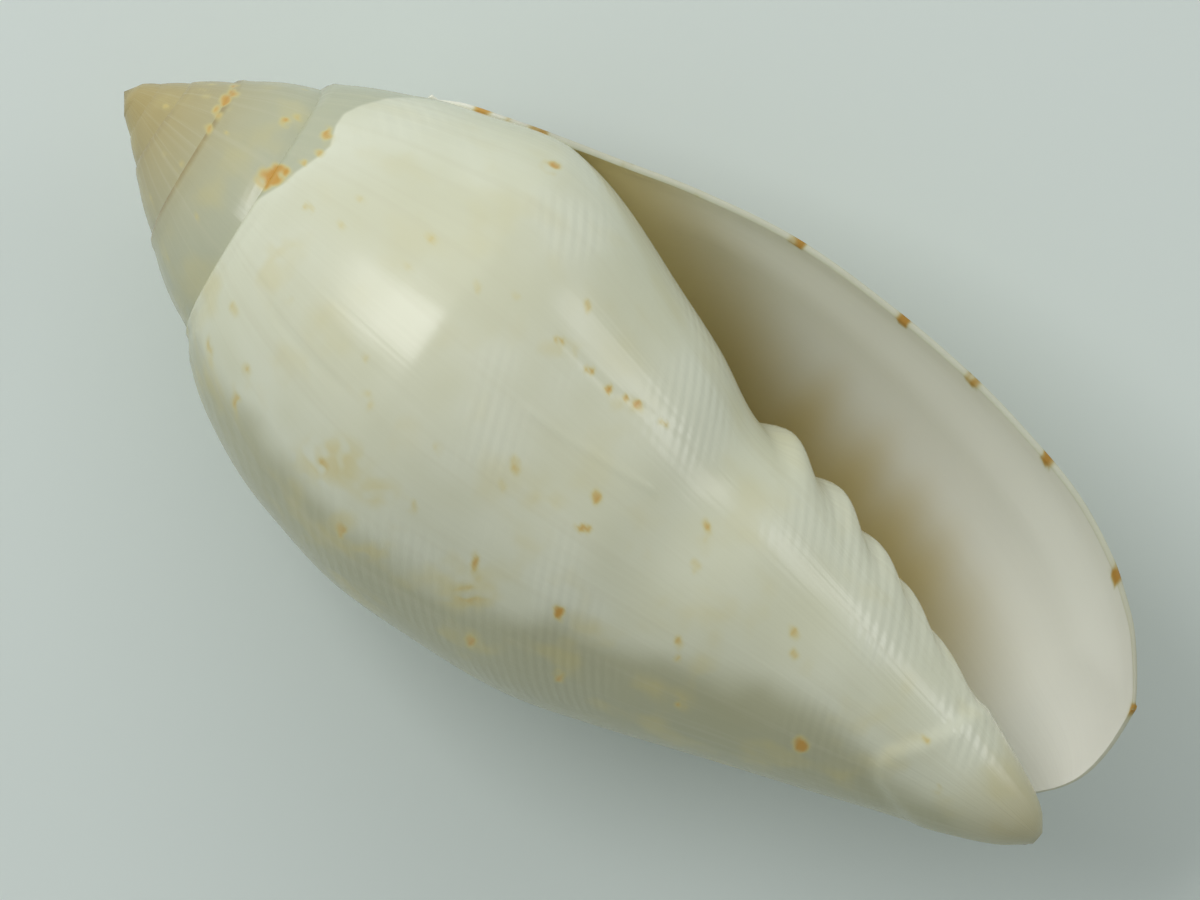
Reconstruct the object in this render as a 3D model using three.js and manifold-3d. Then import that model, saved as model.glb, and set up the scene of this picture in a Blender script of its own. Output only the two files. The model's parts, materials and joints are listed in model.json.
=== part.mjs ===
// A nut mitre seashell, lying on its back with the aperture facing up.
//
// The shell is one piece of lime: a low spire, a swollen last whorl with a long aperture, a
// columella with five folds, and a shallow notch at the front end. Its surface is a radius about
// the coiling axis, given by the turn (0 to 1 is the last whorl, negative turns are the spire)
// and by the distance along the axis from the apex. The last whorl is hollow: a tool that follows
// the same surface, one wall thickness inside it, is cut out of the solid.
//
// Millimetres, +Z up. The coiling axis lies along +X, with the apex at the low end. Turn 0 points
// along +Y, turn 0.25 along +Z (the aperture side), and the outer lip ends at turn 1.
import * as THREE from "three";
import Module from "manifold-3d";
import { mergeVertices } from "three/addons/utils/BufferGeometryUtils.js";

// Driving dimensions, read off the photograph at 23.6 pixels to the millimetre.
const LENGTH = 50;
const WALL = 1.1;
const LIP_EDGE = 0.3;
const EDGE_TAPER = 4; // the wall thins over this distance from its free edge
const SLIT_END = 15.3; // the aperture opens at this distance from the apex
const FLAT_DEPTH = 0.35; // of the worn spot on the back that the shell rests on
const TILT = 7; // degrees by which the shell leans towards its apex there
const TIP_LEAN = 0.2; // the tip of the spire leans sideways by this much

// The suture that winds around the spire, as [turn, distance from apex].
const SUTURE = [
  [-4, 0.4], [-3, 1], [-2, 1.95], [-1.5, 2.45], [-1, 3.35], [-0.5, 4.82], [0, 6.4], [0.5, 8.45],
  [1, 10.1], [2, 13.6],
];

// Outlines of the last whorl, as [distance from apex, radius], at steps of half a turn. The first
// two are the old whorls inside, which line the cavity as its inner wall.
const CORE_A_TURN_BACK = [
  [3, 2.8], [4.5, 4], [6.4, 5.15], [9, 5.3], [13, 4.8], [18, 4.1], [24, 3.6],
  [30, 3.6], [36, 3.4], [42, 2.7], [46, 1.9], [49, 1], [50, 0.2],
];
const CORE_HALF_A_TURN_BACK = [
  [4.8, 4.12], [6.5, 5.25], [8.5, 6.28], [11, 6.75], [14, 6.65], [18, 6.1], [22, 5.45],
  [27, 4.75], [33, 4.3], [38, 3.7], [43, 2.8], [47, 1.85], [49, 1.1], [50, 0.25],
];
const OUTLINE_RIGHT_INSIDE = [
  [6.4, 5.2], [6.65, 5.6], [7.1, 6], [8.4, 6.82], [10.5, 7.9], [12.7, 8.78], [14.8, 9.6],
  [16.4, 9.93], [19.2, 9.6], [23.5, 8.27], [26.5, 7.3], [29.5, 6.05], [33, 5.75], [36, 5.1],
  [38.5, 4.58], [40.8, 3.85], [44, 2.95], [46.4, 2.25], [48.3, 1.55], [49.4, 0.95], [50, 0.25],
];
const OUTLINE_LEFT = [
  [8.45, 6.25], [8.8, 6.45], [9.1, 6.85], [9.4, 7.2], [10.6, 8.08], [12.1, 8.85], [14.1, 9.62],
  [16, 10.08], [19.9, 10.64], [23.5, 10.42], [28.4, 9.67], [32.6, 8.16], [36.7, 6.44],
  [40.8, 4.75], [44, 3.41], [47, 2.2], [48.9, 1.25], [50, 0.3],
];
const OUTLINE_LIP = [
  [10.5, 8], [11.4, 8.56], [12.7, 9.08], [14.8, 9.85], [18.1, 10.95], [21.5, 12.08],
  [26.1, 13.14], [31.4, 13.46], [35.8, 13.34], [39, 12.95], [42.1, 12.33], [44.9, 11.19],
  [46.6, 10.12], [47.6, 9.34], [49, 7.8], [50, 6.4],
];

// Where the wall ends at the front, as [turn, distance from apex]: the shallow notch, then the
// round corner of the outer lip.
const FRONT_MARGIN = [
  [0.58, 50.4], [0.62, 49.4], [0.68, 48.2], [0.75, 48], [0.8, 48.7], [0.85, 49.5], [0.91, 50],
  [1, 49.9],
];
const NOTCH_START = 0.6;

// The folds of the columella, as [distance from apex at turn 0, height], and how they fade out
// on the front of the shell.
const FOLDS = [
  [31.1, 0.78], [34.4, 0.62], [37, 0.44], [39.4, 0.32], [41.8, 0.22],
];
const FOLD_WIDTH = 1.5;
const FOLD_GROWTH = 0.57; // natural log of how far they move along the axis in one turn
const FOLD_FADE_FROM = -0.01;
const FOLD_FADE_TO = 0.12;

// A smooth curve through [x, y] points, as a function of x.
function through(points) {
  const last = points.length - 1;
  const slope = (i) => {
    const a = points[Math.max(i - 1, 0)];
    const b = points[Math.min(i + 1, last)];
    return (b[1] - a[1]) / (b[0] - a[0]);
  };
  return (x) => {
    const at = THREE.MathUtils.clamp(x, points[0][0], points[last][0]);
    let i = 0;
    while (i < last - 1 && at > points[i + 1][0]) i += 1;
    const [x0, y0] = points[i];
    const [x1, y1] = points[i + 1];
    const h = x1 - x0;
    const t = (at - x0) / h;
    return (
      y0 * (1 + 2 * t) * (1 - t) ** 2 +
      y1 * t * t * (3 - 2 * t) +
      slope(i) * h * t * (1 - t) ** 2 -
      slope(i + 1) * h * t * t * (1 - t)
    );
  };
}

const smooth = (x, from, to) => THREE.MathUtils.smoothstep(x, from, to);

const suture = through(SUTURE);

// Radius of the spire: a convex cone with a blunt tip, each whorl slightly swollen.
function spireRadius(turn, along) {
  const cone = 1.02 * along - 0.0335 * along ** 2;
  const tip = Math.sqrt(1.6 * along) * Math.exp(-0.9 * along);
  const share = THREE.MathUtils.clamp(
    (along - suture(turn)) / (suture(turn + 1) - suture(turn)), 0, 1,
  );
  const swelling = 0.03 * Math.sin(Math.PI * share ** 0.8) + 0.012 * (1 - share);
  return Math.hypot(cone, tip) * (1 + swelling);
}

const insideSpire = (outline, turn) => {
  const curve = through(outline);
  const next = suture(turn + 1);
  return (along) => (along < next ? spireRadius(turn, along) : curve(along));
};
const STATIONS = [
  { turn: -1, radius: insideSpire(CORE_A_TURN_BACK, -1) },
  { turn: -0.5, radius: insideSpire(CORE_HALF_A_TURN_BACK, -0.5) },
  { turn: 0, radius: through(OUTLINE_RIGHT_INSIDE) },
  { turn: 0.5, radius: through(OUTLINE_LEFT) },
  { turn: 1, radius: through(OUTLINE_LIP) },
];

// A station's radius, with its outline slid along so that its suture meets this turn's suture.
function stationRadius(index, turn, along) {
  const station = STATIONS[index];
  const left = (LENGTH - along) / (LENGTH - suture(turn));
  return station.radius(LENGTH - left * (LENGTH - suture(station.turn)));
}

function foldHeight(turn, along) {
  const fade = 1 - smooth(turn, FOLD_FADE_FROM, FOLD_FADE_TO);
  const growth = Math.exp(FOLD_GROWTH * turn);
  return FOLDS.reduce((sum, [at, height]) => {
    const away = (along - at * growth) / (FOLD_WIDTH * growth);
    return sum + (Math.abs(away) < 1 ? height * fade * Math.cos((away * Math.PI) / 2) ** 2 : 0);
  }, 0);
}

// Radius of the shell's surface at a turn and a distance from the apex.
function radius(turn, along) {
  if (turn <= -1) return spireRadius(turn, along);
  const place = Math.min((turn + 1) * 2, STATIONS.length - 1);
  const i = Math.min(Math.floor(place), STATIONS.length - 2);
  const t = place - i;
  const size = (index) => Math.log(stationRadius(index, turn, along));
  const b = size(i);
  const c = size(i + 1);
  const a = i > 0 ? size(i - 1) : b;
  const d = i < STATIONS.length - 2 ? size(i + 2) : 2 * c - b;
  const blended =
    b +
    0.5 * t * (c - a + t * (2 * a - 5 * b + 4 * c - d + t * (3 * (b - c) + d - a)));
  return Math.exp(blended) + foldHeight(turn, along);
}

// The point at a turn, a distance from the apex and a radius.
const settle = new THREE.Matrix4().makeRotationY(THREE.MathUtils.degToRad(TILT) * -1);
function point(turn, along, r) {
  const angle = 2 * Math.PI * (turn - Math.floor(turn));
  const lean = TIP_LEAN * Math.exp(-along);
  const place = new THREE.Vector3(along, r * Math.cos(angle) - lean, r * Math.sin(angle));
  return place.applyMatrix4(settle).toArray();
}

// Collects points and triangles, and makes a manifold-3d solid of them.
class Skin {
  constructor() {
    this.points = [];
    this.triangles = [];
  }
  add(p) {
    this.points.push(p);
    return this.points.length - 1;
  }
  triangle(a, b, c) {
    if (a !== b && b !== c && a !== c) this.triangles.push(a, b, c);
  }
  quad(a, b, c, d) {
    this.triangle(a, b, c);
    this.triangle(a, c, d);
  }
  // Fills the gap between two rows of points that start and end together.
  zip(one, other) {
    let i = 0;
    let j = 0;
    const along = (row, k) => this.points[row[k]][0];
    while (i < one.length - 1 || j < other.length - 1) {
      const step =
        j === other.length - 1 ||
        (i < one.length - 1 && along(one, i + 1) <= along(other, j + 1));
      if (step) this.triangle(one[i], one[i + 1], other[j]);
      else this.triangle(one[i], other[j + 1], other[j]);
      if (step) i += 1;
      else j += 1;
    }
  }
  solid(wasm) {
    const loose = new THREE.BufferGeometry();
    const flat = new Float32Array(this.points.flat());
    loose.setAttribute("position", new THREE.BufferAttribute(flat, 3));
    loose.setIndex(this.triangles);
    return solidOf(loose, wasm);
  }
}

// A manifold-3d solid of a closed geometry, with corners that meet joined into one.
function solidOf(geometry, wasm) {
  const bare = geometry.clone();
  bare.deleteAttribute("normal");
  bare.deleteAttribute("uv");
  const merged = mergeVertices(bare, 1e-4);
  const all = Array.from(merged.index.array);
  const kept = [];
  for (let k = 0; k < all.length; k += 3) {
    const [a, b, c] = all.slice(k, k + 3);
    if (a !== b && b !== c && a !== c) kept.push(a, b, c);
  }
  return new wasm.Manifold(new wasm.Mesh({
    numProp: 3,
    vertProperties: merged.attributes.position.array,
    triVerts: new Uint32Array(kept),
  }));
}

// The outside of the shell, filled. It is one strip that winds down the spire and becomes the
// last whorl, and a flat face closes it between the outer lip and the whorl inside.
const ROWS_PER_TURN = 48;
const SPIRE_TURNS = 3.5;
const STRIP_SHARES = [0, 0.08, 0.35, 0.68, 1];

// Distances from the apex at which the last whorl has its rows of corners, close at the folds.
const COLUMNS = [SLIT_END, 17.5, 19.8, 22.2, 24.6, 27];
for (let along = 29; along < 43; along += 0.68) COLUMNS.push(along);
COLUMNS.push(45, 47, 48.6, 49.5, LENGTH);

function outside() {
  const skin = new Skin();
  const rows = [];
  const firstRow = -SPIRE_TURNS * ROWS_PER_TURN;
  for (let k = firstRow; k <= ROWS_PER_TURN; k += 1) {
    const turn = k / ROWS_PER_TURN;
    const from = suture(turn);
    const to = suture(turn + 1);
    const above = rows[rows.length - ROWS_PER_TURN];
    const row = STRIP_SHARES.map((share, j) => {
      if (j === 0 && above) return above[STRIP_SHARES.length - 1];
      const along = from + share * (to - from);
      return skin.add(point(turn, along, radius(turn, along)));
    });
    if (k >= 0) {
      const places = [(to + SLIT_END) / 2, ...COLUMNS];
      row.push(...places.map((along) => skin.add(point(turn, along, radius(turn, along)))));
    }
    rows.push(row);
  }
  for (let i = 0; i < rows.length - 1; i += 1) {
    const width = Math.min(rows[i].length, rows[i + 1].length);
    for (let j = 0; j < width - 1; j += 1) {
      skin.quad(rows[i][j], rows[i + 1][j], rows[i + 1][j + 1], rows[i][j + 1]);
    }
  }
  const apex = skin.add(point(0, 0, 0));
  for (let i = 0; i < ROWS_PER_TURN; i += 1) skin.triangle(apex, rows[i + 1][0], rows[i][0]);
  for (let j = 0; j < STRIP_SHARES.length - 1; j += 1) {
    skin.triangle(apex, rows[0][j], rows[0][j + 1]);
  }
  const lip = rows[rows.length - 1];
  const first = rows[rows.length - 1 - ROWS_PER_TURN];
  const inner = first.slice(STRIP_SHARES.length - 1);
  skin.zip(inner, lip);
  const tip = skin.add(point(0, LENGTH, 0));
  const ends = rows.slice(-ROWS_PER_TURN - 1).map((row) => row[row.length - 1]);
  ends.forEach((end, i) => skin.triangle(tip, end, ends[(i + 1) % ends.length]));
  return skin;
}

// Thickness of the wall, thin at the outer lip and at the front margin.
const frontMargin = through(FRONT_MARGIN);
function wall(turn, along) {
  const fromLip = (1 - turn) * 2 * Math.PI * radius(1, along);
  const fromFront = turn > NOTCH_START ? frontMargin(turn) - along : EDGE_TAPER;
  const away = Math.max(Math.min(fromLip, fromFront), 0);
  return LIP_EDGE + (WALL - LIP_EDGE) * smooth(away, 0, EDGE_TAPER);
}

// What is cut out: the hollow of the last whorl, the aperture, and all that lies past the front
// margin. Each row is a loop in a half-plane through the axis, inner wall first.
const CAVITY_ROWS = 41;
const CAVITY_PAST_LIP = 1.06;
const CLOSED_FRONT = 43;
const PAST_TIP = LENGTH + 2;
const LEAST_GAP = 0.04;

function hollow() {
  const skin = new Skin();
  const rows = [];
  const innerShares = COLUMNS.map((along) => (along - SLIT_END) / (LENGTH - SLIT_END));
  const outerShares = innerShares.filter((share, j) => j === 0 || j % 2 === 1);
  const turns = [];
  for (let k = CAVITY_ROWS; k >= 0; k -= 1) turns.push(1 - k / ROWS_PER_TURN);
  turns.push(CAVITY_PAST_LIP);
  for (const turn of turns) {
    const whorl = Math.min(turn, 1);
    const corner = THREE.MathUtils.lerp(suture(whorl) + 1.5, SLIT_END, smooth(whorl, 0.86, 1));
    const open = turn > NOTCH_START;
    const front = open ? frontMargin(whorl) : CLOSED_FRONT;
    const innerEnd = open ? LENGTH : CLOSED_FRONT;
    const innerAt = (along) => radius(turn - 1, along) + (turn > 1 ? 0.3 : 0);
    const outerAt = (along) => {
      const inside = radius(whorl, along) - wall(whorl, along);
      return Math.max(inside, innerAt(along) + LEAST_GAP);
    };
    const inner = innerShares.map((share) => corner + share * (innerEnd - corner))
      .map((along) => [along, innerAt(along)]);
    const outer = outerShares.map((share) => corner + share * (front - corner))
      .map((along) => [along, outerAt(along)]);
    if (open) {
      inner.push([PAST_TIP, 0.06]);
      outer.push([front + 0.02, radius(whorl, front) + 3], [PAST_TIP, 16]);
      inner.push([PAST_TIP, 0.07]);
    } else {
      inner.push([front, innerAt(front)], [front, innerAt(front)]);
      outer.push([front, outerAt(front)], [front, outerAt(front)]);
    }
    const loop = [...inner, ...outer.reverse()];
    rows.push(loop.map(([along, r]) => skin.add(point(turn, along, r))));
  }
  for (let i = 0; i < rows.length - 1; i += 1) {
    const count = rows[i].length;
    for (let j = 0; j < count; j += 1) {
      const k = (j + 1) % count;
      skin.quad(rows[i][j], rows[i][k], rows[i + 1][k], rows[i + 1][j]);
    }
  }
  const split = rows[0].length - outerShares.length - 2;
  const first = rows[0];
  const last = rows[rows.length - 1];
  skin.zip(first.slice(split).reverse(), first.slice(0, split));
  skin.zip(last.slice(0, split), last.slice(split).reverse());
  return skin;
}

const wasm = await Module();
wasm.setup();
const filled = outside().solid(wasm);
const cut = hollow().solid(wasm);
const hollowed = filled.subtract(cut);

// The worn spot: everything below a level plane, just above the lowest point, goes.
const lowest = hollowed.boundingBox().min[2];
const below = new THREE.BoxGeometry(2 * LENGTH, LENGTH, LENGTH);
below.translate(LENGTH / 2, 0, lowest + FLAT_DEPTH - LENGTH / 2);
const mesh = hollowed.subtract(solidOf(below, wasm)).getMesh();

const geometry = new THREE.BufferGeometry();
geometry.setAttribute("position", new THREE.BufferAttribute(mesh.vertProperties, 3));
geometry.setIndex(new THREE.BufferAttribute(mesh.triVerts, 1));
geometry.computeBoundingBox();
const middle = geometry.boundingBox.getCenter(new THREE.Vector3());
geometry.translate(-middle.x, -middle.y, -geometry.boundingBox.min.z);
geometry.computeVertexNormals();

const cream = new THREE.MeshStandardMaterial({ color: 0xe9e4d6, roughness: 0.28, metalness: 0 });
const shellMesh = new THREE.Mesh(geometry, cream);
shellMesh.name = "shell";

const part = new THREE.Group();
part.add(shellMesh);
export default part;
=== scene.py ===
"""A nut mitre seashell that lies on its back on a pale floor, seen from above as in the photograph.

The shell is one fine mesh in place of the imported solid, made from the same outlines: a radius about
the coiling axis, given by the turn and by the distance along the axis from the apex. Turn 0 to 1 is
the last whorl, negative turns are the spire and, past the suture, the wall inside the aperture.
"""

import json
import math

import bpy
import numpy as np
from mathutils import Matrix, Vector, noise

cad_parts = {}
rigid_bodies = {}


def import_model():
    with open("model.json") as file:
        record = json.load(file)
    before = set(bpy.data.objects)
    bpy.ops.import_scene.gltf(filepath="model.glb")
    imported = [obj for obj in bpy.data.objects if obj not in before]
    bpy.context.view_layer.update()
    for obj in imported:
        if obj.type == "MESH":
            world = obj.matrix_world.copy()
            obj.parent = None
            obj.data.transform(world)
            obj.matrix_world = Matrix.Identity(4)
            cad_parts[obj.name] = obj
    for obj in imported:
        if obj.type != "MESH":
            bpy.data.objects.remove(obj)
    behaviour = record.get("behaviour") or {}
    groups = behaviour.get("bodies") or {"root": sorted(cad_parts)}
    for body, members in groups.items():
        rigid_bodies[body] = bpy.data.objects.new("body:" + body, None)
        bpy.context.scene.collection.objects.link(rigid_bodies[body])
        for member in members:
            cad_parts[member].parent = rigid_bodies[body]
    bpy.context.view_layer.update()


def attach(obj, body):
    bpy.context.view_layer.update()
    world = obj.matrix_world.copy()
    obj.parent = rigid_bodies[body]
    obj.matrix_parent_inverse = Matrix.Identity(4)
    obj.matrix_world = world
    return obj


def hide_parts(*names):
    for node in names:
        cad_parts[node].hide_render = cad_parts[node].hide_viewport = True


MM = 0.001
for leftover in list(bpy.data.objects):
    bpy.data.objects.remove(leftover)
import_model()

# Driving dimensions of the shell, in millimetres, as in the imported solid.
LENGTH = 50.0
WALL = 1.1
LIP_EDGE = 0.3
EDGE_TAPER = 4.0
SLIT_END = 15.3
FLAT_DEPTH = 0.35
TILT = 7.0
TIP_LEAN = 0.2
SUTURE = [
    (-4, 0.4), (-3, 1), (-2, 1.95), (-1.5, 2.45), (-1, 3.35), (-0.5, 4.82), (0, 6.4),
    (0.5, 8.45), (1, 10.1), (2, 13.6),
]
CORE_A_TURN_BACK = [
    (3, 2.8), (4.5, 4), (6.4, 5.15), (9, 5.3), (13, 4.8), (18, 4.1), (24, 3.6),
    (30, 3.6), (36, 3.4), (42, 2.7), (46, 1.9), (49, 1), (50, 0.2),
]
CORE_HALF_A_TURN_BACK = [
    (4.8, 4.12), (6.5, 5.25), (8.5, 6.28), (11, 6.75), (14, 6.65), (18, 6.1), (22, 5.45),
    (27, 4.75), (33, 4.3), (38, 3.7), (43, 2.8), (47, 1.85), (49, 1.1), (50, 0.25),
]
OUTLINE_RIGHT_INSIDE = [
    (6.4, 5.2), (6.65, 5.6), (7.1, 6), (8.4, 6.82), (10.5, 7.9), (12.7, 8.78), (14.8, 9.6),
    (16.4, 9.93), (19.2, 9.6), (23.5, 8.27), (26.5, 7.3), (29.5, 6.05), (33, 5.75), (36, 5.1),
    (38.5, 4.58), (40.8, 3.85), (44, 2.95), (46.4, 2.25), (48.3, 1.55), (49.4, 0.95), (50, 0.25),
]
OUTLINE_LEFT = [
    (8.45, 6.25), (8.8, 6.45), (9.1, 6.85), (9.4, 7.2), (10.6, 8.08), (12.1, 8.85), (14.1, 9.62),
    (16, 10.08), (19.9, 10.64), (23.5, 10.42), (28.4, 9.67), (32.6, 8.16), (36.7, 6.44),
    (40.8, 4.75), (44, 3.41), (47, 2.2), (48.9, 1.25), (50, 0.3),
]
OUTLINE_LIP = [
    (10.5, 8), (11.4, 8.56), (12.7, 9.08), (14.8, 9.85), (18.1, 10.95), (21.5, 12.08),
    (26.1, 13.14), (31.4, 13.46), (35.8, 13.34), (39, 12.95), (42.1, 12.33), (44.9, 11.19),
    (46.6, 10.12), (47.6, 9.34), (49, 7.8), (50, 6.4),
]
FRONT_MARGIN = [
    (0.58, 50.4), (0.62, 49.4), (0.68, 48.2), (0.75, 48), (0.8, 48.6), (0.85, 49.3), (0.91, 49.8),
    (0.96, 49.9), (1, 49.6),
]
NOTCH_START = 0.6
FOLDS = [(31.1, 0.78), (34.4, 0.62), (37, 0.44), (39.4, 0.32), (41.8, 0.22)]
FOLD_WIDTH = 1.5
FOLD_GROWTH = 0.57
FOLD_FADE_FROM = -0.01
FOLD_FADE_TO = 0.12

# The photograph: where the apex and the coiling axis lie in it, and its scale.
PHOTO_WIDTH = 1200
PHOTO_HEIGHT = 900
PIXELS_PER_MM = 23.6
APEX_PIXEL = (127.0, 88.0)
AXIS_ANGLE = math.radians(39.42)
CAMERA_DISTANCE = 500.0


def through(points):
    """A smooth curve through (x, y) points, as a function of an array of x."""
    xs = np.array([p[0] for p in points], float)
    ys = np.array([p[1] for p in points], float)
    ahead = np.minimum(np.arange(len(xs)) + 1, len(xs) - 1)
    behind = np.maximum(np.arange(len(xs)) - 1, 0)
    slopes = (ys[ahead] - ys[behind]) / (xs[ahead] - xs[behind])

    def curve(x):
        x = np.clip(np.asarray(x, float), xs[0], xs[-1])
        i = np.clip(np.searchsorted(xs, x, side="right") - 1, 0, len(xs) - 2)
        h = xs[i + 1] - xs[i]
        t = (x - xs[i]) / h
        return (
            ys[i] * (1 + 2 * t) * (1 - t) ** 2
            + ys[i + 1] * t * t * (3 - 2 * t)
            + slopes[i] * h * t * (1 - t) ** 2
            - slopes[i + 1] * h * t * t * (1 - t)
        )

    return curve


def smooth(x, low, high):
    """0 below low and 1 above high, with an even slope between."""
    t = np.clip((np.asarray(x, float) - low) / (high - low), 0, 1)
    return t * t * (3 - 2 * t)


suture = through(SUTURE)
front_margin = through(FRONT_MARGIN)


def spire_radius(turn, along):
    """Radius of the spire: a convex cone with a blunt tip, each whorl slightly swollen."""
    along = np.maximum(along, 0)
    cone = 1.02 * along - 0.0335 * along**2
    tip = np.sqrt(1.6 * along) * np.exp(-0.9 * along)
    share = np.clip((along - suture(turn)) / (suture(turn + 1) - suture(turn)), 0, 1)
    swelling = 0.03 * np.sin(np.pi * share**0.8) + 0.012 * (1 - share)
    return np.hypot(cone, tip) * (1 + swelling)


def inside_spire(outline, turn):
    """An old whorl: the spire down to the next suture, then its own outline."""
    curve = through(outline)
    return lambda along: np.where(
        along < suture(turn + 1), spire_radius(turn, along), curve(along)
    )


STATIONS = [
    (-1, inside_spire(CORE_A_TURN_BACK, -1)),
    (-0.5, inside_spire(CORE_HALF_A_TURN_BACK, -0.5)),
    (0, through(OUTLINE_RIGHT_INSIDE)),
    (0.5, through(OUTLINE_LEFT)),
    (1, through(OUTLINE_LIP)),
]


def station_radius(index, turn, along):
    """A station's radius, its outline slid along so that its suture meets this turn's."""
    station_turn, outline = STATIONS[index]
    left = (LENGTH - along) / (LENGTH - suture(turn))
    return outline(LENGTH - left * (LENGTH - suture(station_turn)))


def fold_height(turn, along):
    """Height of the five folds of the columella."""
    fade = 1 - smooth(turn, FOLD_FADE_FROM, FOLD_FADE_TO)
    growth = np.exp(FOLD_GROWTH * turn)
    total = np.zeros_like(along)
    for at, height in FOLDS:
        away = np.clip((along - at * growth) / (FOLD_WIDTH * growth), -1, 1)
        total = total + height * fade * np.cos(away * np.pi / 2) ** 2
    return total


def radius(turn, along):
    """Radius of the shell's surface, for one turn and an array of distances from the apex."""
    along = np.asarray(along, float)
    if turn <= -1:
        return spire_radius(turn, along)
    place = min((turn + 1) * 2, len(STATIONS) - 1)
    i = min(int(place), len(STATIONS) - 2)
    t = place - i
    b = np.log(station_radius(i, turn, along))
    c = np.log(station_radius(i + 1, turn, along))
    a = np.log(station_radius(i - 1, turn, along)) if i > 0 else b
    last = i >= len(STATIONS) - 2
    d = 2 * c - b if last else np.log(station_radius(i + 2, turn, along))
    blended = b + 0.5 * t * (
        c - a + t * (2 * a - 5 * b + 4 * c - d + t * (3 * (b - c) + d - a))
    )
    return np.exp(blended) + fold_height(turn, along)


def wall(turn, along):
    """Thickness of the wall, thin at the outer lip and at the front margin."""
    from_lip = (1 - turn) * 2 * np.pi * radius(1, along)
    if turn > NOTCH_START:
        from_lip = np.minimum(from_lip, front_margin(turn) - along)
    return LIP_EDGE + (WALL - LIP_EDGE) * smooth(from_lip, 0, EDGE_TAPER)


# The crisp edge below each suture, in millimetres.
EDGE_BELOW = 0.2
EDGE_WIDTH = 0.22
EDGE_HEIGHT = 0.11

# Fine relief on the face, in millimetres, and the part of a turn over which it fades behind it.
GLAZE_STEP = 0.09
GLAZE_STEP_REACH = 1.6
CREASE_HEIGHT = 0.05
SCRATCH_DEPTH = 0.03
PAD_HEIGHT = 0.2
PAD_REACH = 1.4
PAD_GROOVE_DEPTH = 0.07
RELIEF_FADE = 0.04

# Where that relief lies: paths of places in the photograph, in pixels.
GLAZE_EDGE = [
    (189, 327), (197, 300), (213, 262), (232, 229), (247, 212), (266, 200), (287, 188), (300, 176),
    (324, 160), (335, 150), (339, 129), (346, 116), (361, 108), (388, 100), (420, 98), (463, 103),
    (490, 112), (520, 123), (545, 131),
]
REST_LINE = [(262, 280), (285, 325), (315, 360), (345, 388)]
LEFT_CREASE = [(200, 330), (228, 400), (265, 470)]
THIN_RIDGE = [(528, 410), (568, 439), (651, 490)]
CRACK = [(560, 340), (608, 390), (637, 405), (690, 440)]
# Edge of the olive band on the lower left, which also carries painted shade there.
OLIVE_AND_SHADE_EDGE = [
    (120, 180), (230, 400), (294, 478), (373, 545), (445, 593), (561, 625), (676, 650), (770, 672),
    (840, 725), (900, 780), (960, 806), (1080, 850),
]
FASCIOLE_LOBE = [
    (990, 700), (950, 727), (915, 743), (888, 750), (876, 763), (881, 782), (896, 803), (925, 832),
    (960, 870),
]
FASCIOLE_GROOVE = [(858, 692), (850, 722), (856, 752), (874, 786), (900, 815)]


def to_plane(pixels):
    """Places in the photograph, as [distance from apex, sideways] in millimetres."""
    off = (np.array(pixels, float) - APEX_PIXEL) / PIXELS_PER_MM
    along = off[:, 0] * math.cos(AXIS_ANGLE) + off[:, 1] * math.sin(AXIS_ANGLE)
    aside = off[:, 0] * math.sin(AXIS_ANGLE) - off[:, 1] * math.cos(AXIS_ANGLE)
    return np.stack([along, aside], axis=1)


def from_path(along, aside, path):
    """Distance to a path, and on which side of it: positive on the right as it is walked."""
    line = to_plane(path)
    best = np.full(along.shape, 1e9)
    side = np.ones(along.shape)
    for (x0, y0), (x1, y1) in zip(line[:-1], line[1:]):
        dx, dy = x1 - x0, y1 - y0
        t = np.clip(((along - x0) * dx + (aside - y0) * dy) / (dx * dx + dy * dy), 0, 1)
        away = np.hypot(along - x0 - t * dx, aside - y0 - t * dy)
        turn_side = np.sign((along - x0) * dy - (aside - y0) * dx)
        nearer = away < best
        side = np.where(nearer, turn_side, side)
        best = np.where(nearer, away, best)
    return best, side


def beyond_path(along, aside, path):
    """Distance to a path, positive on its right as it is walked and negative on its left."""
    away, side = from_path(along, aside, path)
    return np.where(side > 0, away, -away)


def ridge(along, aside, path, width):
    """1 on a path, falling to 0 at about twice that width."""
    away, _ = from_path(along, aside, path)
    return np.exp(-((away / width) ** 2))


def relief(turn, along, r):
    """Height of the fine relief on the face that the photograph shows."""
    aside = r * math.cos(2 * math.pi * turn)
    height = np.zeros_like(along)
    glazed = beyond_path(along, aside, GLAZE_EDGE)
    step = smooth(glazed, -0.12, 0.12) * np.exp(-np.abs(glazed) / GLAZE_STEP_REACH)
    height = height + GLAZE_STEP * step
    height = height - SCRATCH_DEPTH * ridge(along, aside, REST_LINE, 0.18)
    height = height + CREASE_HEIGHT * ridge(along, aside, LEFT_CREASE, 0.14)
    height = height + CREASE_HEIGHT * ridge(along, aside, THIN_RIDGE, 0.12)
    height = height - SCRATCH_DEPTH * ridge(along, aside, CRACK, 0.12)
    on_lobe = -beyond_path(along, aside, FASCIOLE_LOBE)
    pad = smooth(on_lobe, -0.4, 0.4) * np.exp(-np.maximum(on_lobe, 0) / PAD_REACH)
    near_front = smooth(along, 40.0, 42.0)
    height = height + PAD_HEIGHT * pad * near_front
    groove = ridge(along, aside, FASCIOLE_GROOVE, 0.4)
    height = height - PAD_GROOVE_DEPTH * groove * near_front
    return height


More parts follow.
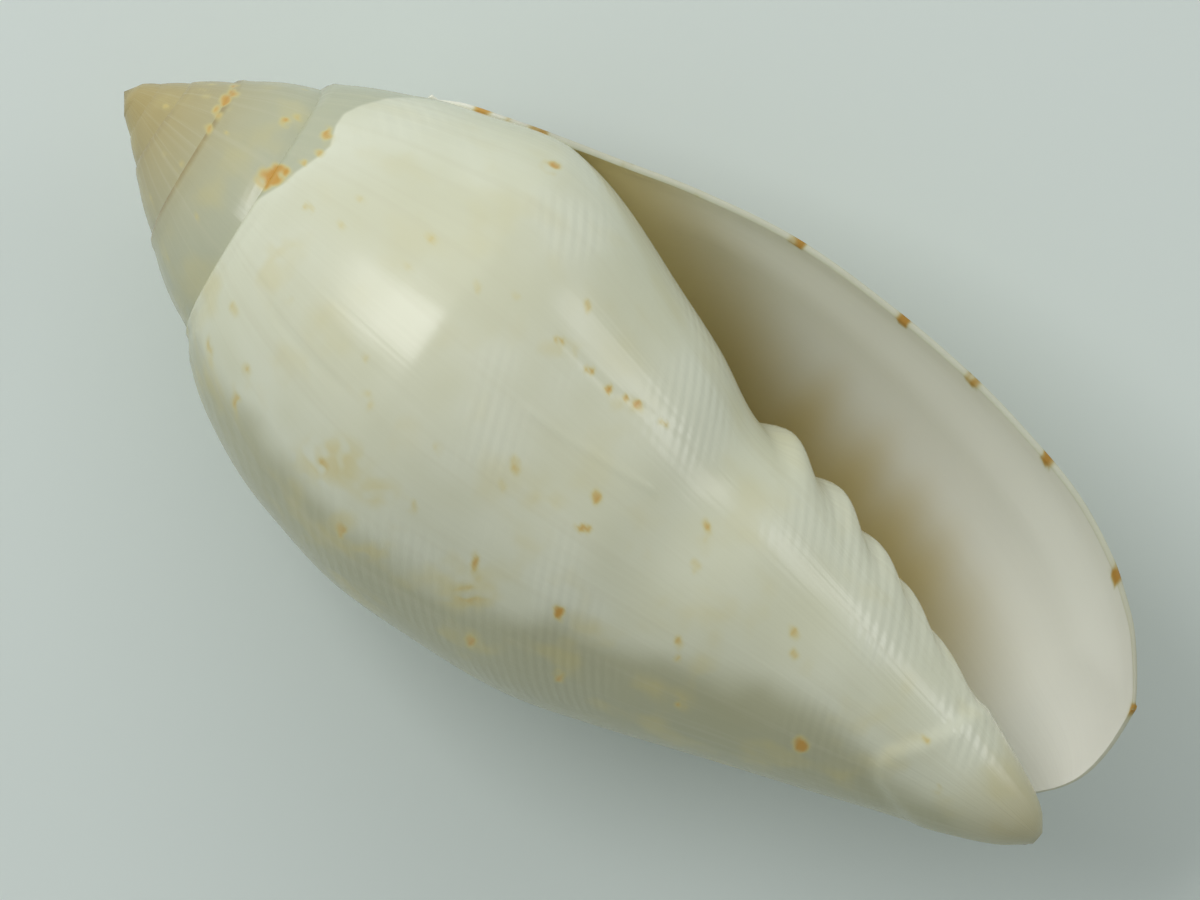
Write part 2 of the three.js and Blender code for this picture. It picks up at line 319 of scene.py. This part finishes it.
# Spots on the face, as (x, y, width, height, strength) in pixels of the photograph.
SPOTS = [
    (363, 201, 7, 9, 0.35), (346, 230, 6, 8, 0.3), (435, 243, 8, 9, 0.35), (414, 273, 7, 9, 0.3),
    (552, 170, 15, 10, 0.75), (480, 291, 7, 12, 0.3), (518, 300, 7, 8, 0.3),
    (588, 308, 7, 14, 0.4), (370, 358, 8, 9, 0.35), (371, 402, 12, 15, 0.55),
    (324, 464, 15, 11, 0.55), (441, 446, 8, 12, 0.35), (517, 465, 9, 16, 0.45),
    (505, 485, 8, 10, 0.3), (478, 565, 8, 22, 0.6), (560, 610, 9, 13, 0.9),
    (597, 497, 9, 13, 0.6), (584, 527, 15, 7, 0.6), (637, 404, 9, 11, 0.7),
    (705, 530, 8, 18, 0.6), (695, 565, 8, 14, 0.6), (792, 630, 9, 12, 0.45),
    (792, 652, 8, 10, 0.4), (677, 640, 8, 12, 0.5), (677, 657, 7, 9, 0.4),
    (800, 743, 12, 14, 0.85), (680, 700, 8, 12, 0.7), (560, 675, 9, 12, 0.6),
    (472, 640, 9, 12, 0.6), (470, 592, 22, 16, 0.5), (415, 505, 9, 12, 0.4),
    (345, 530, 10, 14, 0.5), (293, 300, 8, 10, 0.35), (238, 310, 8, 12, 0.35),
    (213, 352, 6, 22, 0.5), (250, 370, 8, 12, 0.4), (240, 402, 7, 22, 0.5),
    (921, 738, 11, 7, 0.6), (935, 787, 8, 8, 0.7), (276, 180, 20, 14, 1.0),
    (268, 186, 12, 12, 0.9), (285, 174, 14, 10, 1.0), (330, 140, 8, 18, 0.7), (322, 156, 8, 8, 0.5),
    (308, 166, 9, 6, 0.5), (288, 125, 9, 8, 0.8), (298, 119, 8, 6, 0.6), (312, 210, 5, 12, 1.0),
    (235, 92, 9, 12, 0.8), (228, 103, 9, 13, 0.8), (220, 115, 8, 13, 0.7), (211, 129, 7, 12, 0.6),
    (335, 460, 62, 40, 0.3), (380, 490, 44, 24, 0.22), (470, 595, 50, 24, 0.32),
    (375, 550, 34, 18, 0.26), (345, 520, 26, 20, 0.26), (560, 350, 40, 16, 0.2),
    (630, 405, 40, 16, 0.22), (545, 500, 40, 20, 0.2), (290, 255, 34, 22, 0.2),
    (590, 372, 9, 6, 0.6), (608, 390, 9, 7, 0.7), (560, 342, 9, 6, 0.5), (575, 356, 8, 6, 0.55),
    (625, 399, 8, 6, 0.6), (662, 424, 9, 6, 0.5), (185, 165, 5, 8, 0.4), (168, 108, 6, 6, 0.5),
]
# Spots on the edge of the lip, as (x, y, size, strength).
LIP_SPOTS = [
    (627, 165, 8, 0.3), (700, 193, 8, 0.35), (799, 241, 12, 0.95), (904, 320, 12, 0.9),
    (971, 381, 13, 0.85), (1044, 460, 13, 0.9), (1112, 579, 12, 0.95), (1130, 713, 11, 0.8),
    (482, 111, 13, 0.9), (541, 128, 14, 0.9), (510, 119, 7, 0.4),
]

# How far a spot spreads for its stated size, and how many spots are scattered.
SPOT_REACH = 0.85
SPOTS_BEHIND = 54
SPIRE_SPOTS = 26


def spot_strength(turn, along, r, outside):
    """How brown the skin is, from the spots on the face and lip and those scattered behind."""
    angle = 2 * math.pi * turn
    aside = r * math.cos(angle)
    total = np.zeros_like(along)
    for spots, on_part in ((SPOTS, math.sin(angle) > 0), (LIP_SPOTS, turn > 0.9)):
        if not on_part:
            continue
        for spot in spots:
            width, height, strength = spot[2], spot[-2], spot[-1]
            (at_along, at_aside), = to_plane([spot[:2]])
            if len(spot) == 5:
                across = aside - at_aside
            else:
                across = (1 - turn) * 2 * math.pi * r
            right = (along - at_along) * math.cos(AXIS_ANGLE) + across * math.sin(AXIS_ANGLE)
            down = (along - at_along) * math.sin(AXIS_ANGLE) - across * math.cos(AXIS_ANGLE)
            reach = SPOT_REACH / PIXELS_PER_MM
            away = np.hypot(right / (width * reach), down / (height * reach))
            total = np.maximum(total, strength * (1 - smooth(away, 0.25, 1.15)))
    for at_turn, at_along, size, strength in SCATTERED:
        if outside and abs(turn - at_turn) < 0.1:
            away = np.hypot((turn - at_turn) * 2 * math.pi * r, along - at_along) / size
            total = np.maximum(total, strength * (1 - smooth(away, 0.25, 1.15)))
    return total


def scatter_spots():
    """Small spots where the photograph shows none: (turn, along, size in mm, strength)."""
    chance = np.random.default_rng(11)
    scattered = []
    for _ in range(SPOTS_BEHIND):
        turn, along = chance.uniform(0.53, 0.98), chance.uniform(12, 46)
        scattered.append((turn, along, chance.uniform(0.3, 0.7), chance.uniform(0.3, 0.9)))
    for _ in range(SPIRE_SPOTS):
        turn = chance.uniform(-2, -0.03)
        along = suture(turn) + chance.uniform(0.2, 0.9) * (suture(turn + 1) - suture(turn))
        scattered.append((turn, along, chance.uniform(0.15, 0.3), chance.uniform(0.2, 0.5)))
    return scattered


SCATTERED = scatter_spots()


# Rows of the mesh within one turn, close together on the face that the photograph shows.
FACE_ROWS = 190
BACK_ROWS = 66
FRACTIONS = np.concatenate([
    np.linspace(0, 0.5, FACE_ROWS, endpoint=False),
    np.linspace(0.5, 1, BACK_ROWS, endpoint=False),
])
ROWS = len(FRACTIONS)
SPIRE_TURNS = 4
SPIRE_COLUMNS = 13
SHOULDER_COLUMNS = 22
BODY_COLUMNS = 138
CAVITY_FROM = 0.15
CORE_FADE = 0.8
COARSE_STEP = 4

# Values of the points, in millimetres: away from any painted edge, the fall of the olive band and
# painted shade for each turn past the left side, and how far from the columella the inside's ochre
# and painted shade reach.
FAR_FROM_EDGE = 4.0
OLIVE_AND_SHADE_FADE = 40
COLUMELLA_SHADE_REACH = 4.5


def turn_of(k):
    """The turn of the row with this number, which is 0 at turn 0."""
    return k // ROWS + FRACTIONS[k % ROWS]


class Skin:
    """Collects the points and faces of the mesh, with what the material needs at each point."""

    def __init__(self):
        self.points = []
        self.facts = []
        self.faces = []

    def row(self, turn, along, r, inside, beyond=0.0):
        """Adds a row of points. beyond moves it past its half-plane, in millimetres."""
        count = len(along)
        angle = 2 * math.pi * turn
        lean = TIP_LEAN * np.exp(-np.maximum(along, 0))
        y = r * math.cos(angle) - math.sin(angle) * beyond - lean
        z = r * math.sin(angle) + math.cos(angle) * beyond
        first = len(self.points)
        self.points.extend(np.stack([along, y, z], axis=1).tolist())
        thread = along - math.pi * r * turn
        aside = r * math.cos(angle)
        facing = 0 <= turn <= 0.5
        if facing:
            glazed = beyond_path(along, aside, GLAZE_EDGE)
        else:
            glazed = FAR_FROM_EDGE if turn > 0 or inside > 0 else -FAR_FROM_EDGE
        # Olive band on the lower left, partly a real band and partly painted shade, fading past the
        # left side.
        past_olive_and_shade_edge = beyond_path(along, aside, OLIVE_AND_SHADE_EDGE) if turn >= 0 else -FAR_FROM_EDGE
        past_olive_and_shade_edge = past_olive_and_shade_edge - OLIVE_AND_SHADE_FADE * max(turn - 0.5, 0)
        spots = spot_strength(turn, along, r, inside == 0) if inside < 1 or turn > 0.9 else 0.0
        # Ochre tint and painted shade of the inside, strongest next to the columella.
        columella_ochre_and_shade = 1.0
        if turn > 0:
            from_core = aside - radius(0, along)
            columella_ochre_and_shade = 1 - smooth(from_core, 0.0, COLUMELLA_SHADE_REACH) if inside == 1 else 0.0
        below = along - suture(turn)
        values = (turn, along, inside, glazed, past_olive_and_shade_edge, columella_ochre_and_shade, thread, spots, below)
        facts = np.stack([value + np.zeros(count) for value in values], axis=1)
        self.facts.extend(facts.tolist())
        return list(range(first, first + count))

    def strip(self, one, other):
        """Faces between two rows of equal length."""
        for a, b, c, d in zip(one[:-1], other[:-1], other[1:], one[1:]):
            self.faces.append((a, b, c, d))

    def fan(self, ring, tip):
        """Faces between a row and one point."""
        for a, b in zip(ring[:-1], ring[1:]):
            self.faces.append((a, b, tip))


def margin(turn):
    """Where the wall ends at the front, no further than the tip."""
    return min(float(front_margin(turn)), LENGTH) if turn > NOTCH_START else LENGTH


def outside_radius(turn, along):
    """Radius with the fine relief and a crisp edge below the suture."""
    r = radius(turn, along)
    below = along - suture(turn)
    edge = np.exp(-(((below - EDGE_BELOW) / EDGE_WIDTH) ** 2)) * (1 - smooth(turn, 0.8, 0.98))
    r = r + EDGE_HEIGHT * edge * smooth(suture(turn), 0.8, 4)
    if -RELIEF_FADE < turn <= 0.5 + RELIEF_FADE:
        shown = smooth(turn, -RELIEF_FADE, 0) * (1 - smooth(turn, 0.5, 0.5 + RELIEF_FADE))
        r = r + relief(turn, along, r) * shown
    return r


def lapped_radius(turn, along):
    """The same, starting on the whorl before, which this one laps over."""
    r = outside_radius(turn, along)
    r[0] = outside_radius(max(turn - 1, -SPIRE_TURNS), along[:1])[0]
    return r


def add_outside(skin):
    """The spire and the outside of the last whorl. Returns the rows of the last whorl."""
    previous = None
    first_points = []
    for k in range(-SPIRE_TURNS * ROWS, 1):
        turn = turn_of(k)
        share = np.linspace(0, 1, SPIRE_COLUMNS) ** 1.4
        along = suture(turn) + share * (suture(turn + 1) - suture(turn))
        row = skin.row(turn, along, lapped_radius(turn, along), 0.0)
        if previous:
            skin.strip(previous, row)
        previous = row
        first_points.append(row[0])
    apex = skin.row(-SPIRE_TURNS, np.array([0.0]), np.array([0.0]), 0.0)[0]
    skin.fan(first_points[ROWS::-1], apex)
    body = {}
    previous = None
    for k in range(ROWS + 1):
        turn = turn_of(k)
        share = np.linspace(0, 1, SHOULDER_COLUMNS, endpoint=False) ** 1.5
        shoulder = suture(turn) + share * (SLIT_END - suture(turn))
        along = np.concatenate([shoulder, np.linspace(SLIT_END, margin(turn), BODY_COLUMNS)])
        row = skin.row(turn, along, lapped_radius(turn, along), 0.0)
        if previous:
            skin.strip(previous, row)
        body[k] = row
        previous = row
    return body


# The aperture's depth below the lip at its rear: at least, for each unit of width, and beyond.
SLIT_LEAST_DEPTH = 0.3
SLIT_DEPTH_TO_WIDTH = 1.2
SLIT_DEEPENING = 0.02
TIP_MARGIN = 0.12


def slit_depth(along):
    """How far below the lip the aperture goes: a shallow groove at first, then all the way."""
    width = np.maximum(radius(1, along) - radius(0, along), 0)
    beyond = np.maximum(along - SLIT_END, 0)
    return SLIT_LEAST_DEPTH + SLIT_DEPTH_TO_WIDTH * width + SLIT_DEEPENING * beyond**3


def under_tip(turn, along, r):
    """Keeps a radius of the inside below the outside at the front tip."""
    too_far = np.maximum(r + TIP_MARGIN - radius(turn, along), 0)
    return r - too_far * smooth(along, LENGTH - 3, LENGTH - 1.5)


def add_inside(skin, body):
    """The wall inside the last whorl, the columella in it, and the edges of both.

    Returns the columella's last points, where it comes out at the front.
    """
    steps = [k for k in range(FACE_ROWS) if k % COARSE_STEP == 0]
    steps = steps + list(range(FACE_ROWS, ROWS + 1))
    steps = [k for k in steps if turn_of(k) >= CAVITY_FROM]
    share = np.linspace(0, 1, BODY_COLUMNS)
    wall_before, core_before = None, None
    edges = []
    core_end = []
    for k in steps:
        turn = turn_of(k)
        corner = suture(turn) + 1.5
        corner = corner + (SLIT_END - corner) * smooth(turn, 0.86, 1)
        end = margin(turn)
        core_along = corner + share * (LENGTH - corner)
        core = under_tip(turn, core_along, outside_radius(turn - 1, core_along))
        wall_along = corner + share * (end - corner)
        gap = radius(turn, wall_along) - wall(turn, wall_along) - radius(turn - 1, wall_along)
        closing = smooth(turn, CAVITY_FROM, CAVITY_FROM + 0.1) * smooth(share, 0, 0.04)
        if turn <= NOTCH_START:
            closing = closing * (1 - smooth(share, 0.8, 0.97))
        depth = (1 - turn) * 2 * math.pi * radius(1, wall_along)
        limit = slit_depth(wall_along)
        closing = closing * (1 - smooth(depth / limit, 0.25, 1))
        inner = radius(turn - 1, wall_along) + np.maximum(gap, 0.02) * closing
        inner = under_tip(turn, wall_along, inner)
        core_inside = max(1 - float(smooth(turn, CORE_FADE, 1)), 0.01)
        core_row = skin.row(turn - 1, core_along, core, core_inside)
        wall_row = skin.row(turn, wall_along, inner, 1.0)
        if core_before:
            skin.strip(core_before, core_row)
            skin.strip(wall_row, wall_before)
        core_before, wall_before = core_row, wall_row
        if turn > NOTCH_START:
            edges.append((k, wall_row))
            core_end.append(core_row[-1])
    add_front_edge(skin, body, edges)
    add_lip_edge(skin, body, wall_before)
    return core_end


# Where the points of a rounded edge lie on its half circle.
EDGE_ANGLES = np.radians([0, 40, 90, 140, 180])


def add_front_edge(skin, body, edges):
    """The rounded edge at the front, between the outside and the inside of the wall."""
    before = None
    for k, wall_row in edges:
        turn = turn_of(k)
        outer, inner = skin.points[body[k][-1]], skin.points[wall_row[-1]]
        r_out, r_in = math.hypot(outer[1], outer[2]), math.hypot(inner[1], inner[2])
        half = abs(r_out - r_in) / 2
        along = margin(turn) + half * np.sin(EDGE_ANGLES)
        r = (r_out + r_in) / 2 + half * np.cos(EDGE_ANGLES)
        row = skin.row(turn, along, r, 0.5)
        if before:
            skin.strip(before, row)
        before = row


def add_lip_edge(skin, body, wall_row):
    """The rounded edge of the outer lip, and the step where it meets the old whorl."""
    lip_row = body[ROWS]
    outer = np.array([skin.points[i] for i in lip_row])
    slit = SHOULDER_COLUMNS
    under = np.array([skin.points[i] for i in body[0]])
    shoulder_r = np.interp(outer[:slit, 0], under[:, 0], under[:, 1])
    wall_r = np.array([skin.points[i][1] for i in wall_row])
    inner_r = np.concatenate([shoulder_r - 0.05, wall_r])
    before = None
    for angle in EDGE_ANGLES:
        half = np.maximum(outer[:, 1] - inner_r, 0) / 2
        r = (outer[:, 1] + inner_r) / 2 + half * math.cos(angle)
        lean = TIP_LEAN * np.exp(-outer[:, 0])
        beyond = half * math.sin(angle)
        row = skin.row(1.0, outer[:, 0], r + lean, 0.5, beyond)
        if before:
            skin.strip(before, row)
        before = row


def settle(points):
    """Tilts the shell onto the spot it rests on, and wears that spot flat."""
    turned = points @ np.array(Matrix.Rotation(math.radians(-TILT), 3, "Y")).T
    low, high = turned.min(axis=0), turned.max(axis=0)
    shift = np.array([(low[0] + high[0]) / 2, (low[1] + high[1]) / 2, low[2] + FLAT_DEPTH])
    placed = turned - shift
    placed[:, 2] = np.maximum(placed[:, 2], 0)
    return placed * MM, shift


CLOUD_SCALE = 170.0
STAIN_SCALE = 430.0
FACTS = ["turn", "along", "inside", "glazed", "past_olive_and_shade_edge", "columella_ochre_and_shade", "thread", "spot", "below"]


def make_shell():
    """The shell's mesh, and how far it was moved to stand on its spot."""
    skin = Skin()
    body = add_outside(skin)
    core_end = add_inside(skin, body)
    tip = skin.row(0.0, np.array([LENGTH]), np.array([0.0]), 0.0)[0]
    open_end = [row[-1] for k, row in body.items() if FRACTIONS[k % ROWS] <= NOTCH_START]
    skin.fan(core_end + open_end[:-1], tip)
    points, shift = settle(np.array(skin.points))
    mesh = bpy.data.meshes.new("nut_mitre")
    mesh.from_pydata(points.tolist(), [], skin.faces)
    facts = np.array(skin.facts)
    columns = {name: facts[:, column] for column, name in enumerate(FACTS)}
    for name, scale in (("clouds", CLOUD_SCALE), ("stains", STAIN_SCALE)):
        columns[name] = [0.5 + 0.25 * noise.fractal(Vector(p) * scale, 1, 2, 3) for p in points]
    for name, values in columns.items():
        layer = mesh.attributes.new(name, "FLOAT", "POINT")
        layer.data.foreach_set("value", values)
    mesh.update()
    mesh.shade_smooth()
    shell = bpy.data.objects.new("nut_mitre", mesh)
    bpy.context.scene.collection.objects.link(shell)
    return shell, shift


shell, body_shift = make_shell()
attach(shell, "root")
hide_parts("shell")


def in_frame(along, aside, up):
    """A point given in millimetres from the apex, in the row frame, in metres."""
    turned = Matrix.Rotation(math.radians(-TILT), 3, "Y") @ Vector((along, aside, up))
    return (turned - Vector(body_shift)) * MM


class Graph:
    """Short names for making the nodes of one material."""

    def __init__(self, name):
        self.material = bpy.data.materials.new(name)
        self.material.use_nodes = True
        self.tree = self.material.node_tree
        self.tree.nodes.clear()

    def node(self, kind, inputs=(), **settings):
        made = self.tree.nodes.new(kind)
        for key, value in settings.items():
            setattr(made, key, value)
        for key, value in dict(inputs).items():
            if isinstance(value, bpy.types.NodeSocket):
                self.tree.links.new(value, made.inputs[key])
            else:
                made.inputs[key].default_value = value
        return made

    def math(self, operation, a, b=0.0, c=0.0, clamp=False):
        settings = {"operation": operation, "use_clamp": clamp}
        return self.node("ShaderNodeMath", {0: a, 1: b, 2: c}, **settings).outputs[0]

    def attribute(self, name):
        return self.node("ShaderNodeAttribute", attribute_name=name).outputs["Fac"]

    def combine(self, x, y, z):
        return self.node("ShaderNodeCombineXYZ", {0: x, 1: y, 2: z}).outputs[0]

    def noise(self, vector, scale, detail, roughness=0.55, dimensions="3D"):
        inputs = {"Vector": vector, "Scale": scale, "Detail": detail, "Roughness": roughness}
        return self.node("ShaderNodeTexNoise", inputs, noise_dimensions=dimensions).outputs[0]

    def ramp(self, value, low, high):
        """0 below low and 1 above high."""
        inputs = {"Value": value, "From Min": low, "From Max": high}
        settings = {"interpolation_type": "SMOOTHSTEP"}
        return self.node("ShaderNodeMapRange", inputs, **settings).outputs[0]

    def mix(self, factor, a, b):
        made = self.node("ShaderNodeMix", data_type="RGBA")
        for key, value in ((0, factor), (6, a), (7, b)):
            if isinstance(value, bpy.types.NodeSocket):
                self.tree.links.new(value, made.inputs[key])
            else:
                made.inputs[key].default_value = value
        return made.outputs[2]


def srgb(r, g, b):
    """A colour given as 0 to 255 in sRGB, as linear numbers."""
    linear = []
    for value in (r / 255, g / 255, b / 255):
        dark = value <= 0.04045
        linear.append(value / 12.92 if dark else ((value + 0.055) / 1.055) ** 2.4)
    return (*linear, 1.0)


CREAM = srgb(214, 214, 187)
GLAZE_WHITE = srgb(227, 229, 211)
# Olive of the band on the lower left, darkened as painted shade.
OLIVE_WITH_PAINTED_SHADE = srgb(166, 163, 124)
SPIRE_GREY = srgb(186, 188, 162)
APEX_TAN = srgb(178, 162, 112)
# Ochre of the inside, deepened as painted shade next to the columella.
INSIDE_OCHRE_AND_SHADE = srgb(222, 204, 150)
INSIDE_WHITE = srgb(247, 246, 238)
BLOT_YELLOW = srgb(212, 199, 134)
SPOT_BROWN = srgb(202, 150, 62)
SEAM_BROWN = srgb(150, 130, 82)
TIP_GREY = srgb(184, 176, 140)
STREAK_PALE = srgb(206, 203, 176)

# The length of a turn at a middling radius, and the distance between threads, in millimetres.
ARC = 2 * math.pi * 10
THREAD_SPACING = 0.62


def make_shell_material():
    """Cream enamel over lime, with spots, growth lines, spiral threads and an ochre inside, with
    painted shade in the ochre and in the olive band.
    """
    graph = Graph("shell_enamel")
    turn = graph.attribute("turn")
    along = graph.attribute("along")
    inside = graph.attribute("inside")
    thread = graph.attribute("thread")
    arc = graph.math("MULTIPLY", turn, ARC)
    position = graph.node("ShaderNodeTexCoord").outputs["Object"]
    speckle = graph.noise(position, 1500.0, 0.0)
    outside = graph.math("SUBTRACT", 1.0, inside, clamp=True)

    # Ground colour: grey spire, cream whorl, whiter glaze near the aperture.
    clouds = graph.attribute("clouds")
    uneven = graph.math("SUBTRACT", clouds, 0.5)
    ground = graph.mix(graph.ramp(along, 0.5, 7.5), APEX_TAN, SPIRE_GREY)
    whiter = graph.math("MULTIPLY", graph.ramp(clouds, 0.35, 0.65), 0.6)
    ragged = graph.math("MULTIPLY_ADD", uneven, 0.5, graph.attribute("glazed"))
    glaze = graph.ramp(ragged, -0.06, 0.1)
    ground = graph.mix(glaze, ground, graph.mix(whiter, CREAM, GLAZE_WHITE))
    # Olive band towards the lower left: part a real band, part painted shade of the side turned from
    # the light.
    patchy = graph.math("MULTIPLY_ADD", uneven, 5.0, graph.attribute("past_olive_and_shade_edge"))
    olive_and_shade = graph.math("MULTIPLY", graph.ramp(patchy, -0.6, 1.4), 0.7)
    ground = graph.mix(graph.math("MULTIPLY", olive_and_shade, outside), ground, OLIVE_WITH_PAINTED_SHADE)
    on_spire = graph.math("SUBTRACT", 1.0, graph.ramp(turn, -0.1, 0.1))
    seam = graph.math("SUBTRACT", 1.0, graph.ramp(graph.attribute("below"), 0.04, 0.3))
    seam = graph.math("MULTIPLY", seam, graph.math("MULTIPLY", on_spire, 0.7))
    seam = graph.math("MULTIPLY", seam, graph.ramp(along, 1.0, 4.0))
    ground = graph.mix(graph.math("MULTIPLY", seam, outside), ground, SEAM_BROWN)
    yellowed = graph.math("MULTIPLY", graph.ramp(graph.attribute("stains"), 0.5, 0.72), 0.45)
    yellow_zone = graph.ramp(graph.attribute("past_olive_and_shade_edge"), -9.0, 1.0)
    yellowed = graph.math("MULTIPLY", yellowed, graph.math("MULTIPLY_ADD", yellow_zone, 0.7, 0.3))
    ground = graph.mix(graph.math("MULTIPLY", yellowed, outside), ground, BLOT_YELLOW)
    tip = graph.math("MULTIPLY", graph.ramp(along, 45.0, 49.5), outside)
    ground = graph.mix(graph.math("MULTIPLY", tip, 0.75), ground, TIP_GREY)

    # Growth lines: thin streaks across the whorl.
    around = graph.math("MULTIPLY", arc, 1.3)
    lengthwise = graph.math("MULTIPLY", along, 0.06)
    streak_place = graph.combine(around, lengthwise, 0.0)
    streaks = graph.noise(streak_place, 1.0, 2.0, 0.6, "2D")
    pale_streak = graph.math("MULTIPLY", graph.ramp(streaks, 0.5, 0.8), 0.2)
    ground = graph.mix(graph.math("MULTIPLY", pale_streak, outside), ground, STREAK_PALE)

    # Spots, broken up by a fine speckle.
    spots = graph.attribute("spot")
    spots = graph.math("MULTIPLY", spots, graph.ramp(speckle, 0.15, 0.6))
    halo = graph.math("MULTIPLY", graph.ramp(spots, 0.0, 0.5), 0.8)
    colour = graph.mix(halo, ground, BLOT_YELLOW)
    heart = graph.math("MULTIPLY", graph.ramp(spots, 0.22, 0.8), 0.9)
    colour = graph.mix(heart, colour, SPOT_BROWN)

    # Inside: ochre tint with painted shade where the columella shelters it, white at the lip and at
    # the front.
    open_front = graph.math("SUBTRACT", 1.0, graph.ramp(along, 38.0, 47.0))
    ochre = graph.math("MULTIPLY", graph.attribute("columella_ochre_and_shade"), open_front)
    inner = graph.mix(ochre, INSIDE_WHITE, INSIDE_OCHRE_AND_SHADE)
    plain = graph.math("SUBTRACT", 1.0, graph.ramp(spots, 0.0, 0.6))
    colour = graph.mix(graph.math("MULTIPLY", inside, plain), colour, inner)

    # Relief too fine for the mesh.
    wave = graph.math("SINE", graph.math("MULTIPLY", thread, 2 * math.pi / THREAD_SPACING))
    wave = graph.math("MULTIPLY", wave, graph.math("MULTIPLY", outside, 0.3))
    broken = graph.math("MULTIPLY", wave, graph.ramp(clouds, 0.47, 0.66))
    height = graph.math("ADD", broken, graph.math("MULTIPLY", streaks, 0.8))
    bump = graph.node(
        "ShaderNodeBump", {"Strength": 0.35, "Distance": 0.00006, "Height": height}
    ).outputs[0]

    enamel = graph.node("ShaderNodeBsdfPrincipled", {
        "Base Color": colour, "Roughness": 0.22, "Normal": bump,
    }).outputs[0]
    # The wall lets light through where it is thin, near the outer lip.
    through_wall = graph.node("ShaderNodeBsdfTranslucent", {"Color": colour}).outputs[0]
    thin = graph.math("MULTIPLY_ADD", outside, 0.45, 0.25)
    thin = graph.math("MULTIPLY", thin, graph.ramp(turn, 0.55, 0.85))
    thin = graph.math("MULTIPLY", thin, graph.ramp(along, 11.0, 16.0))
    mixed = graph.node("ShaderNodeMixShader", {0: thin, 1: enamel, 2: through_wall}).outputs[0]
    graph.node("ShaderNodeOutputMaterial", {"Surface": mixed})
    return graph.material


shell.data.materials.append(make_shell_material())


FLOOR_COLOUR = srgb(222, 230, 226)
FLOOR_HALF = 600 * MM
SKY_COLOUR = (0.93, 1.0, 0.98, 1)
SKY_STRENGTH = 0.33


def make_floor():
    """A plain pale floor."""
    half = FLOOR_HALF
    corners = [(-half, -half, 0), (half, -half, 0), (half, half, 0), (-half, half, 0)]
    mesh = bpy.data.meshes.new("floor")
    mesh.from_pydata(corners, [], [(0, 1, 2, 3)])
    floor = bpy.data.objects.new("floor", mesh)
    bpy.context.scene.collection.objects.link(floor)
    graph = Graph("floor_paper")
    shader = graph.node("ShaderNodeBsdfPrincipled", {
        "Base Color": FLOOR_COLOUR, "Roughness": 0.8, "Specular IOR Level": 0.2,
    })
    graph.node("ShaderNodeOutputMaterial", {"Surface": shader.outputs[0]})
    mesh.materials.append(graph.material)
    return floor


make_floor()


def look_matrix(across, up_image, towards, place):
    """The matrix of an object whose own axes are these, at a place in the row frame."""
    turn = Matrix.Rotation(math.radians(-TILT), 3, "Y")
    axes = Matrix((turn @ across, turn @ up_image, turn @ towards)).transposed()
    return Matrix.Translation(place) @ axes.to_4x4()


IMAGE_RIGHT = Vector((math.cos(AXIS_ANGLE), math.sin(AXIS_ANGLE), 0))
IMAGE_UP = Vector((-math.sin(AXIS_ANGLE), math.cos(AXIS_ANGLE), 0))
TOWARDS_CAMERA = Vector((0, 0, 1))


def make_camera():
    """The photograph's view: square to the coiling axis, from far enough to see it flat."""
    middle = to_plane([(PHOTO_WIDTH / 2, PHOTO_HEIGHT / 2)])[0]
    data = bpy.data.cameras.new("camera")
    data.sensor_fit = "HORIZONTAL"
    data.lens = data.sensor_width * CAMERA_DISTANCE * PIXELS_PER_MM / PHOTO_WIDTH
    data.clip_end = 10
    camera = bpy.data.objects.new("camera", data)
    place = in_frame(middle[0], middle[1], CAMERA_DISTANCE)
    camera.matrix_world = look_matrix(IMAGE_RIGHT, IMAGE_UP, TOWARDS_CAMERA, place)
    bpy.context.scene.collection.objects.link(camera)
    bpy.context.scene.camera = camera


def make_light(name, right, up, high, size, watts, in_highlights=True):
    """A soft area light, placed in millimetres as the camera sees it, aimed at the shell."""
    data = bpy.data.lights.new(name, "AREA")
    data.shape = "RECTANGLE"
    data.size, data.size_y = size[0] * MM, size[1] * MM
    data.energy = watts
    light = bpy.data.objects.new(name, data)
    offset = (IMAGE_RIGHT * right + IMAGE_UP * up + TOWARDS_CAMERA * high) * MM
    middle = in_frame(LENGTH / 2, 0, 0)
    light.location = middle + offset
    light.rotation_euler = offset.to_track_quat("Z", "Y").to_euler()
    light.visible_glossy = in_highlights
    bpy.context.scene.collection.objects.link(light)


def make_world():
    """Faint even light from all around."""
    world = bpy.data.worlds.new("studio")
    world.use_nodes = True
    background = world.node_tree.nodes["Background"]
    background.inputs["Color"].default_value = SKY_COLOUR
    background.inputs["Strength"].default_value = SKY_STRENGTH
    bpy.context.scene.world = world


make_camera()
make_light("window_left", -187, 130, 277, (180, 150), 0.46)
make_light("window_right", 306, 108, 155, (150, 100), 0.12)
make_light("ceiling", -70, 330, 220, (360, 260), 0.48, in_highlights=False)
make_world()
view = bpy.context.scene.view_settings
view.view_transform = "Standard"
view.look = "None"
